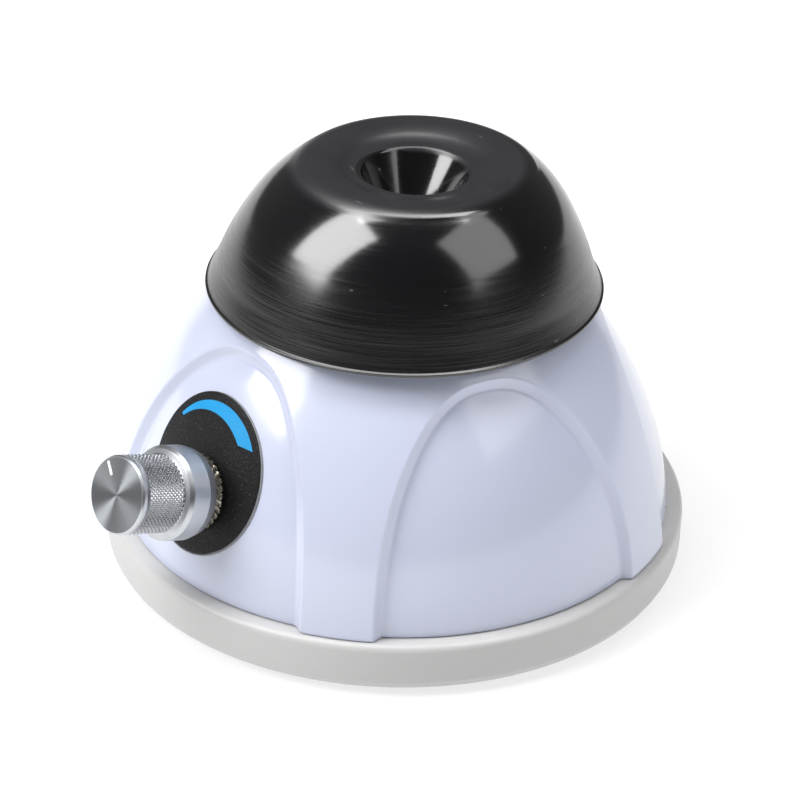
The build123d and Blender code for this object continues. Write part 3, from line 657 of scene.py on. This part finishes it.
def add_rings(bm, ring, steps):
    """Extend a boundary ring by rings given as functions of each start point."""
    now = ring
    for place in steps:
        new = [bm.verts.new(place(v0.co)) for v0 in ring]
        n = len(ring)
        for i in range(n):
            j = (i + 1) % n
            bm.faces.new((now[i], now[j], new[j], new[i]))
        now = new
    return now


def radial(r, z):
    """A step for add_rings: straight out from the axis to radius r at height z."""
    def place(co):
        a = math.atan2(co.y, co.x)
        return (r * MM * math.cos(a), r * MM * math.sin(a), z * MM)
    return place


def build_shell():
    """The case: outer side, deck, collar and lining in one mesh, with the inlet's hole."""
    bm = shell_mesh()
    top = ring_of(bm, lambda c: c.z > 0.056)
    cone_r = CONE_R - (CASE_TOP - CONE_Z) * math.tan(ARC_END)
    corner_r = CONE_R - (DECK_Z - CONE_Z) * math.tan(ARC_END)
    lip = rounded([(cone_r, CASE_TOP, 0), (corner_r, DECK_Z, 1.1), (corner_r - 3, DECK_Z, 0)], 6)[1:]
    path = [tuple(p) for p in lip]
    path += [tuple(p) for p in rounded([(COLLAR_R + 0.8, DECK_Z, 0), (COLLAR_R, DECK_Z, 0.5),
                                        (COLLAR_R, COLLAR_TOP, 0.4), (OPENING_R, COLLAR_TOP, 0.4),
                                        (OPENING_R, INNER_Z, 0)], 4)]
    inner_top = add_rings(bm, top, [radial(r, z) for r, z in path])
    inner_top = add_rings(bm, inner_top, [radial(34.0, INNER_Z)])
    bottom = ring_of(bm, lambda c: c.z < 0.0125)

    def inset(co):
        a = math.atan2(co.y, co.x)
        r = math.hypot(co.x, co.y) - 0.0006
        return (r * math.cos(a), r * math.sin(a), (BASE_TOP + 0.02) * MM)

    bottom = list(reversed(bottom))
    lining = [radial(ARC_CX + math.sqrt((DOME_ARC_R - WALL_T) ** 2 - (z - ARC_CZ) ** 2), z)
              for z in (BASE_TOP + 0.02, 17, 23, 29, 35, 40, 44, 48, 51)]
    inner_low = list(reversed(add_rings(bm, bottom, [inset] + lining)))
    # close the hidden inside between the two inner rings, which differ in count
    i, j = 0, 0
    n, m = len(inner_low), len(inner_top)
    ang = lambda v: math.atan2(v.co.y, v.co.x)
    while i < n or j < m:
        a, b = inner_low[i % n], inner_top[j % m]
        a2, b2 = inner_low[(i + 1) % n], inner_top[(j + 1) % m]
        next_a = ang(a2) + (TAU if i + 1 >= n else 0)
        next_b = ang(b2) + (TAU if j + 1 >= m else 0)
        if j >= m or (i < n and next_a <= next_b):
            bm.faces.new((a, b, a2))
            i += 1
        else:
            bm.faces.new((a, b, b2))
            j += 1
    bmesh.ops.recalc_face_normals(bm, faces=bm.faces)
    mesh = bpy.data.meshes.new("case_shell")
    bm.to_mesh(mesh)
    bm.free()
    obj = bpy.data.objects.new("case_shell", mesh)
    bpy.context.scene.collection.objects.link(obj)
    obj.data.materials.append(CASE)
    # inlet hole through the back pillar
    cutter = bpy.data.meshes.new("inlet_cutter")
    cb = bmesh.new()
    across = Matrix.Translation((0, 0.058, JACK_Z * MM)) @ Matrix.Rotation(math.pi / 2, 4, "X")
    bmesh.ops.create_cone(cb, cap_ends=True, segments=64, radius1=JACK_HOLE_R * MM,
                          radius2=JACK_HOLE_R * MM, depth=0.03, matrix=across)
    cb.to_mesh(cutter)
    cb.free()
    tool = bpy.data.objects.new("inlet_cutter", cutter)
    bpy.context.scene.collection.objects.link(tool)
    hole = obj.modifiers.new("inlet", "BOOLEAN")
    hole.object = tool
    hole.operation = "DIFFERENCE"
    hole.solver = "EXACT"
    bpy.context.view_layer.update()
    done = bpy.data.meshes.new_from_object(obj.evaluated_get(bpy.context.evaluated_depsgraph_get()))
    obj.modifiers.clear()
    obj.data = done
    bpy.data.objects.remove(tool)
    done.polygons.foreach_set("use_smooth", [True] * len(done.polygons))
    done.set_sharp_from_angle(angle=math.radians(42))
    if not done.materials:
        done.materials.append(CASE)
    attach(obj, "housing")
    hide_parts("shell")
    return obj


build_shell()


# ---- base -----------------------------------------------------------------------------
base_path = rounded([
    (0.0, BASE_Z0 + 1.0, 0), (41.6, BASE_Z0 + 1.0, 0.6), (42.2, BASE_Z0, 0.3), (42.3, BASE_Z0, 0),
    (42.3, BASE_Z0 + 0.95, 0), (50.3, BASE_Z0 + 0.95, 0), (50.3, BASE_Z0, 0), (51.5, BASE_Z0, 0.3),
    (BASE_R - 0.95, BASE_Z0, 0.35), (BASE_R - 0.1, BASE_Z0 + 1.6, 2.0), (BASE_R, BASE_Z0 + 3.4, 1.0),
    (BASE_R, BASE_TOP, 1.35),
    (54.0, BASE_TOP, 0.2), (53.4, BASE_TOP - 0.7, 0.2), (50.0, BASE_TOP - 0.7, 0),
    (41.0, BASE_TOP - 0.7, 0.3), (41.0, 5.5, 0.5), (0.0, 5.5, 0)], 8)
lathe("base_disc", thicken(base_path, 4.0), BASE, "housing", "base_plastic", 384, sharp=60,
      stands_for=("base_plate",))


# ---- cup ------------------------------------------------------------------------------
cup_path = rounded([
    (20.0, 65.9, 0), (20.0, 74.4, 0.4), (23.0, 74.4, 0.4), (23.0, 78.6, 1.0), (24.0, 78.6, 1.0),
    (29.6, 73.6, 4.0), (31.6, 69.8, 6.0), (35.0, 61.8, 1.0), (36.0, 59.4, 0.2), (39.06, 59.4, 0.06),
    (39.12, 59.9, 0.15), (38.65, 60.15, 0.25), (36.9, 64.2, 0)], 8)
cup_path += arc_through((36.9, 64.2), (34.75, 69.4), (32.0, 74.6), 24)
cup_path += arc_through((32.0, 74.6), (28.35, 79.72), (23.5, 84.1), 24)
cup_path += arc_through((23.5, 84.1), (22.2, 84.93), (19.9, 85.25), 16)
cup_path += arc_through((19.9, 85.25), (17.2, 85.08), (14.9, 84.36), 14)
cup_path += arc_through((14.9, 84.36), (13.1, 83.63), (11.2, 83.35), 12)
cup_path += arc_through((11.2, 83.35), (10.76, 83.22), (10.45, 82.85), 6)
cup_path += [np.array(p) for p in ((3.4, 70.2), (2.9, 69.5), (1.6, 68.75), (0.0, 68.5))]
cup = lathe("cup", thicken(cup_path, 0.8), RUBBER, "cup_head", "cup_rubber", 320, at=CUP_AT,
            stands_for=("rubber_cup",), sharp=50)
# soft rubber: the crown leans a little to one side of the skirt, more the higher it is
LEAN_FROM, LEAN, LEAN_START, LEAN_GROWTH = 0.0615, 0.054, 0.6, 34
for v in cup.data.vertices:
    rise = max(v.co.z - LEAN_FROM, 0.0)
    shift = LEAN * rise * (LEAN_START + LEAN_GROWTH * rise)
    v.co.x += math.cos(CAM_AZ) * shift
    v.co.y += math.sin(CAM_AZ) * shift


# ---- knob -----------------------------------------------------------------------------
B = KNOB_BACK
F = KNOB_BACK + KNOB_LEN


def knob_barrel():
    """Diamond knurl: two crossing sets of V-grooves cut into the barrel."""
    around, teeth = 960, 52
    z = np.linspace(B + 7.15, F - 1.65, 160)
    a = np.arange(around) / around * TAU
    lead = teeth / 7.45
    uu, zz = np.meshgrid(a, z)
    p = (uu * teeth + (zz - B) * lead) / TAU
    q = (uu * teeth - (zz - B) * lead) / TAU
    tri = lambda w: np.abs((w % 1.0) - 0.5) * 2
    cut = np.maximum(hinge(tri(p) - 0.3, 0.03), hinge(tri(q) - 0.3, 0.03))
    fade = smoothstep((zz - B - 7.15) / 0.3) * smoothstep((F - 1.65 - zz) / 0.25)
    r = 7.5 - 0.42 * cut * fade
    verts = np.stack([r * np.cos(uu), r * np.sin(uu), zz], -1).reshape(-1, 3)
    faces = bands(len(z), around)
    uvs = np.stack([uu / TAU, zz], -1).reshape(-1, 2)
    return new_object("knob_barrel", to_frame(verts, KNOB_AT), faces, BARREL, "speed_dial",
                      "knob_aluminium", uvs=uvs)


knob_barrel()
skirt_path = rounded([
    (3.1, B + 2.0, 0), (6.2, B + 2.0, 0.3), (6.3, B + 0.05, 0.2), (8.5, B, 0.3), (9.02, B + 2.0, 0.1),
    (9.1, B + 2.15, 0.1), (9.1, B + 6.15, 0.12), (8.55, B + 6.95, 0.15), (7.55, B + 7.1, 0.05),
    (7.5, B + 7.15, 0)], 6)
lathe("knob_skirt", thicken(skirt_path, 0.5), SKIRT, "speed_dial", "knob_aluminium", 256,
      frame_of=KNOB_AT, sharp=50, stands_for=("speed_knob", "knob_pointer"))
rim_path = rounded([
    (7.5, F - 1.65, 0), (7.05, F - 1.6, 0.05), (7.0, F - 1.25, 0.08), (7.48, F - 1.1, 0.06),
    (7.48, F - 0.4, 0.1), (7.2, F - 0.02, 0.08), (7.1, F - 0.02, 0)], 5)
lathe("knob_rim", rim_path, SKIRT, "speed_dial", "knob_aluminium", 256, frame_of=KNOB_AT, sharp=60)


def knob_face():
    """Spun face, dished by a few hundredths of a millimetre."""
    around = 256
    radii = np.linspace(0, 7.1, 40)
    verts, faces, uvs = [(0, 0, F - 0.07)], [], [(0.5, 0)]
    for k, r in enumerate(radii[1:], 1):
        for i in range(around):
            a = TAU * i / around
            verts.append((r * math.cos(a), r * math.sin(a), F - 0.02 - 0.05 * (1 - r / 7.1)))
            uvs.append((a / TAU * 12, r))
    for i in range(around):
        j = (i + 1) % around
        faces.append((0, 1 + i, 1 + j))
        for k in range(len(radii) - 2):
            o, n = 1 + k * around, 1 + (k + 1) * around
            faces.append((o + i, n + i, n + j, o + j))
    return new_object("knob_face", to_frame(verts, KNOB_AT), faces, FACE, "speed_dial",
                      "knob_aluminium", uvs=uvs)


knob_face()


def rounded_bar(name, x0, x1, y0, y1, z0, z1, material, body, slot, spin=0.0, r=0.2):
    """A small bar with rounded corners, in the knob's own axes."""
    outline = []
    corners = ((x1 - r, y1 - r), (x0 + r, y1 - r), (x0 + r, y0 + r), (x1 - r, y0 + r))
    for start, (cx, cy) in enumerate(corners):
        for k in range(7):
            a = (start + k / 6) * math.pi / 2
            outline.append((cx + r * math.cos(a), cy + r * math.sin(a)))
    n = len(outline)
    verts = []
    for z, grow in ((z0, 0.0), (z1 - 0.03, 0.0), (z1, -0.03)):
        for x, y in outline:
            d = math.hypot(x - (x0 + x1) / 2, y - (y0 + y1) / 2)
            k = 1 + grow / d
            px = (x0 + x1) / 2 + (x - (x0 + x1) / 2) * k
            py = (y0 + y1) / 2 + (y - (y0 + y1) / 2) * k
            c, s = math.cos(spin), math.sin(spin)
            verts.append((c * px - s * py, s * px + c * py, z))
    faces = [tuple(range(2 * n, 3 * n))] + bands(3, n)
    return new_object(name, to_frame(verts, KNOB_AT), faces, material, body, slot, sharp=50)


rounded_bar("pointer_line", -0.34, 0.34, 3.9, 6.75, F - 0.5, F + 0.02, WHITE_INK, "speed_dial",
            "pointer_paint", spin=KNOB_POINTER)


def lock_washer():
    """Plated lock washer under the nut, its rim cut into twisted teeth."""
    around, teeth, root = 480, 32, 7.2
    rows = [(3.7, 0.62), (3.7, 1.1), (5.2, 1.15), (root, 1.2),
            (7.62, 1.3), (7.62, 1.0), (root, 0.8), (3.7, 0.62)]
    verts, uvs = [], []
    for k, (r, z) in enumerate(rows):
        for i in range(around):
            a = TAU * i / around
            phase = (i * teeth / around) % 1.0
            tooth = float(smoothstep(np.array((0.5 - abs(phase - 0.5) - 0.14) / 0.06)))
            tip = max(0.0, r - root)
            rr = r - tip * 0.8 * (1 - tooth)
            twist = (phase - 0.5) * 0.55 * tip * tooth
            verts.append((rr * math.cos(a), rr * math.sin(a), z + twist))
            uvs.append((i / around, k * 0.5))
    return new_object("lock_washer", to_frame(verts, KNOB_AT), bands(len(rows), around), PLATED,
                      "housing", "nickel", uvs=uvs, sharp=35, stands_for=("toothed_washer",))


lock_washer()


# ---- label ----------------------------------------------------------------------------
LABEL_W, LABEL_H = 14.8, 15.85          # half width and half height
LABEL_SIDE, LABEL_RISE = -1.2, 3.4      # its centre from the knob's axis
LABEL_T = 0.5
SHADE_RIM_SIDE, SHADE_RIM_RISE = 0.08, -0.16      # the rim sits off-centre, so it shows only at the lower right, as painted shade
BUSHING_HOLE_R = 3.8


def on_panel(x, y, lift):
    """The point of the sunken panel in front of (x, y) in the knob's axes, lifted outward."""
    origin = np.array(KNOB_AT) + x * KNOB_U + y * KNOB_V
    lo, hi = -12.0, 6.0
    for _ in range(40):
        mid = (lo + hi) / 2
        p = origin + mid * KNOB_N
        r = math.hypot(p[0], p[1])
        if p[2] < CONE_Z:
            inside = math.hypot(r - ARC_CX, p[2] - ARC_CZ) < DOME_ARC_R - PANEL_DEPTH + lift
        else:
            flat = (r - CONE_R) * math.cos(ARC_END) + (p[2] - CONE_Z) * math.sin(ARC_END)
            inside = flat < lift - PANEL_DEPTH
        if inside:
            lo = mid
        else:
            hi = mid
    return origin + (lo + hi) / 2 * KNOB_N


def label_ring(k, lift, side=0.0, rise=0.0, around=160):
    """The label's oval outline scaled by k, at a height above the panel."""
    return [on_panel(LABEL_SIDE + side + LABEL_W * k * math.cos(TAU * i / around),
                     LABEL_RISE + rise + LABEL_H * k * math.sin(TAU * i / around), lift)
            for i in range(around)]


def label():
    """Printed film with softened edges, over a slightly larger grey rim that shows at the lower right as
    painted shade.
    """
    around = 160
    steps = [(0.30, LABEL_T), (0.45, LABEL_T), (0.6, LABEL_T), (0.75, LABEL_T), (0.88, LABEL_T),
             (0.965, LABEL_T), (0.985, LABEL_T - 0.01), (0.991, LABEL_T - 0.05), (0.993, LABEL_T - 0.14)]
    # painted shade: a grey rim just under the film's edge, set off-centre towards the lower right
    shade_rim_steps = [(0.992, LABEL_T - 0.13), (1.003, LABEL_T - 0.16), (1.007, LABEL_T - 0.22), (1.008, -0.05)]
    verts = [v for k, lift in steps for v in label_ring(k, lift)]
    faces = bands(len(steps), around, inward=True)
    # middle, around the bushing
    hole = len(verts)
    for i in range(around):
        a = TAU * i / around
        verts.append(on_panel(BUSHING_HOLE_R * math.cos(a), BUSHING_HOLE_R * math.sin(a), LABEL_T))
    for i in range(around):
        j = (i + 1) % around
        faces.append((hole + i, i, j, hole + j))
    rim = [v for k, lift in shade_rim_steps for v in label_ring(k, lift, SHADE_RIM_SIDE, SHADE_RIM_RISE)]
    new_object("label_shade_rim", rim, bands(len(shade_rim_steps), around, inward=True), SHADE_RIM,
               "housing", "label_film", sharp=55)
    return new_object("label_disc", verts, faces, LABEL, "housing", "label_film",
                      stands_for=("scale_label",), sharp=55)


label()


def blue_arc():
    """Crescent scale between two circles: a thin end at the left, a wide one at the right."""
    around = 90
    # centre, radius, and the first and last angle of the inner and the outer edge
    edges = ((-2.37, 3.64, 11.55, 139.0, 46.0), (-1.03, 4.89, 12.64, 148.5, 35.0))
    verts, faces = [], []
    for i in range(around + 1):
        w = i / around
        for cx, cy, r, first, last in edges:
            a = math.radians(first + (last - first) * w)
            verts.append(on_panel(cx + r * math.cos(a), cy + r * math.sin(a), LABEL_T + 0.03))
    for i in range(around):
        faces.append((2 * i, 2 * i + 2, 2 * i + 3, 2 * i + 1))
    return new_object("label_arc", verts, faces, BLUE, "housing", "label_film")


blue_arc()


# ---- inlet ----------------------------------------------------------------------------
def inlet():
    """Barrel inlet in the back pillar: sleeve with a bevelled mouth, around its centre pin."""
    path = rounded([(2.9, -9.0, 0), (2.9, 0.0, 0.35), (4.4, 0.0, 0.3), (4.4, -5.5, 0)], 5)
    nylon = stock_material({"slot": "inlet_nylon", "class": "matte_plastic",
                            "base_color": [0.06, 0.06, 0.06]})
    around = 96
    verts = []
    for r, s in path:
        for i in range(around):
            a = TAU * i / around
            verts.append((r * math.cos(a), JACK_MOUTH_Y + s, JACK_Z + r * math.sin(a)))
    new_object("inlet_sleeve", verts, bands(len(path), around), nylon, "housing", "black_nylon", sharp=50)


inlet()


# ---- carried-over CAD nodes -------------------------------------------------------------
record = frame["record"]
slots = {m["slot"]: m for m in record["materials"]}
slot_of = {s["node"]: s["material_slot"] for s in record["subparts"]}
made = {}
for name, slot in slot_of.items():
    obj = bpy.data.objects.get(name)
    if obj is None or obj.type != "MESH":
        continue
    if slot not in made:
        made[slot] = stock_material(slots[slot])
    obj.data.materials.clear()
    obj.data.materials.append(made[slot])


# ---- floor, light, camera ---------------------------------------------------------------
def floor():
    """A flat square, 18 m across, in a grid of faces."""
    mesh = bpy.data.meshes.new("floor")
    bm = bmesh.new()
    n = 24
    size = 18.0
    for i in range(n + 1):
        for j in range(n + 1):
            bm.verts.new(((i / n - 0.5) * size, (j / n - 0.5) * size, 0.0))
    bm.verts.ensure_lookup_table()
    for i in range(n):
        for j in range(n):
            a = i * (n + 1) + j
            bm.faces.new([bm.verts[k] for k in (a, a + n + 1, a + n + 2, a + 1)])
    bm.to_mesh(mesh)
    bm.free()
    obj = bpy.data.objects.new("floor", mesh)
    bpy.context.scene.collection.objects.link(obj)
    obj.data.materials.append(pale_floor())


floor()

CAM_EL = math.radians(29.90)
CAM_DIST = 580.3
CAM_SIDE = 0.51
CAM_RISE = 24.87
CAM_ROLL = math.radians(1.64)
CAM_AIM_Z = 2.5                         # height on the case's axis that it looks towards
CAM_SENSOR = 36.0
CAM_FOCAL = 2800.7 / 800                # focal length in frame widths
fwd = Vector((-math.sin(CAM_AZ) * math.cos(CAM_EL), math.cos(CAM_AZ) * math.cos(CAM_EL),
              -math.sin(CAM_EL)))
right = Vector((math.cos(CAM_AZ), math.sin(CAM_AZ), 0))
up = right.cross(fwd)
spot = Vector((0, 0, CAM_AIM_Z)) - fwd * CAM_DIST + right * CAM_SIDE + up * CAM_RISE
r2 = right * math.cos(CAM_ROLL) + up * math.sin(CAM_ROLL)
u2 = up * math.cos(CAM_ROLL) - right * math.sin(CAM_ROLL)
camera = bpy.data.cameras.new("camera")
camera.sensor_width = CAM_SENSOR
camera.lens = CAM_FOCAL * CAM_SENSOR
camera.clip_start = 0.01
camera.clip_end = 20
cam = bpy.data.objects.new("camera", camera)
cam.matrix_world = Matrix((
    (r2.x, u2.x, -fwd.x, spot.x * MM),
    (r2.y, u2.y, -fwd.y, spot.y * MM),
    (r2.z, u2.z, -fwd.z, spot.z * MM),
    (0, 0, 0, 1)))
bpy.context.scene.collection.objects.link(cam)
bpy.context.scene.camera = cam


def softbox(name, azimuth, elevation, distance, width, height, watts):
    """A rectangular studio light aimed at the object; azimuth runs rightward from the camera."""
    az = math.radians(azimuth) + CAM_AZ
    el = math.radians(elevation)
    aim = Vector((0, 0, 0.055))
    out = Vector((math.sin(az) * math.cos(el), -math.cos(az) * math.cos(el), math.sin(el)))
    data = bpy.data.lights.new(name, "AREA")
    data.shape = "RECTANGLE"
    data.size = width
    data.size_y = height
    data.energy = watts
    lamp = bpy.data.objects.new(name, data)
    turn = out.to_track_quat("Z", "Y").to_matrix().to_4x4()
    lamp.matrix_world = Matrix.Translation(aim + out * distance) @ turn
    bpy.context.scene.collection.objects.link(lamp)
    return lamp


softbox("key_left", -73, 45, 1.1, 0.58, 0.82, 11.8)
softbox("fill_right", 63, 45, 1.1, 0.70, 0.80, 3.5)
softbox("top", 180, 88, 1.2, 1.2, 0.36, 9.0)

world = bpy.data.worlds.new("studio")
bpy.context.scene.world = world
world.use_nodes = True
sky = world.node_tree
back = sky.nodes["Background"]
where = sky.nodes.new("ShaderNodeTexCoord")
toward = sky.nodes.new("ShaderNodeVectorMath")
toward.operation = "DOT_PRODUCT"
toward.inputs[1].default_value = (-math.sin(CAM_AZ), math.cos(CAM_AZ), 0)
ramp = sky.nodes.new("ShaderNodeMapRange")
for key, v in zip(("From Min", "From Max", "To Min", "To Max"), (-0.1, 1.0, 0.02, 0.13)):
    ramp.inputs[key].default_value = v
sky.links.new(where.outputs["Generated"], toward.inputs[0])
sky.links.new(toward.outputs["Value"], ramp.inputs["Value"])
sky.links.new(ramp.outputs[0], back.inputs["Strength"])
back.inputs["Color"].default_value = (1.0, 1.0, 1.0, 1.0)
bpy.context.scene.view_settings.view_transform = "Standard"
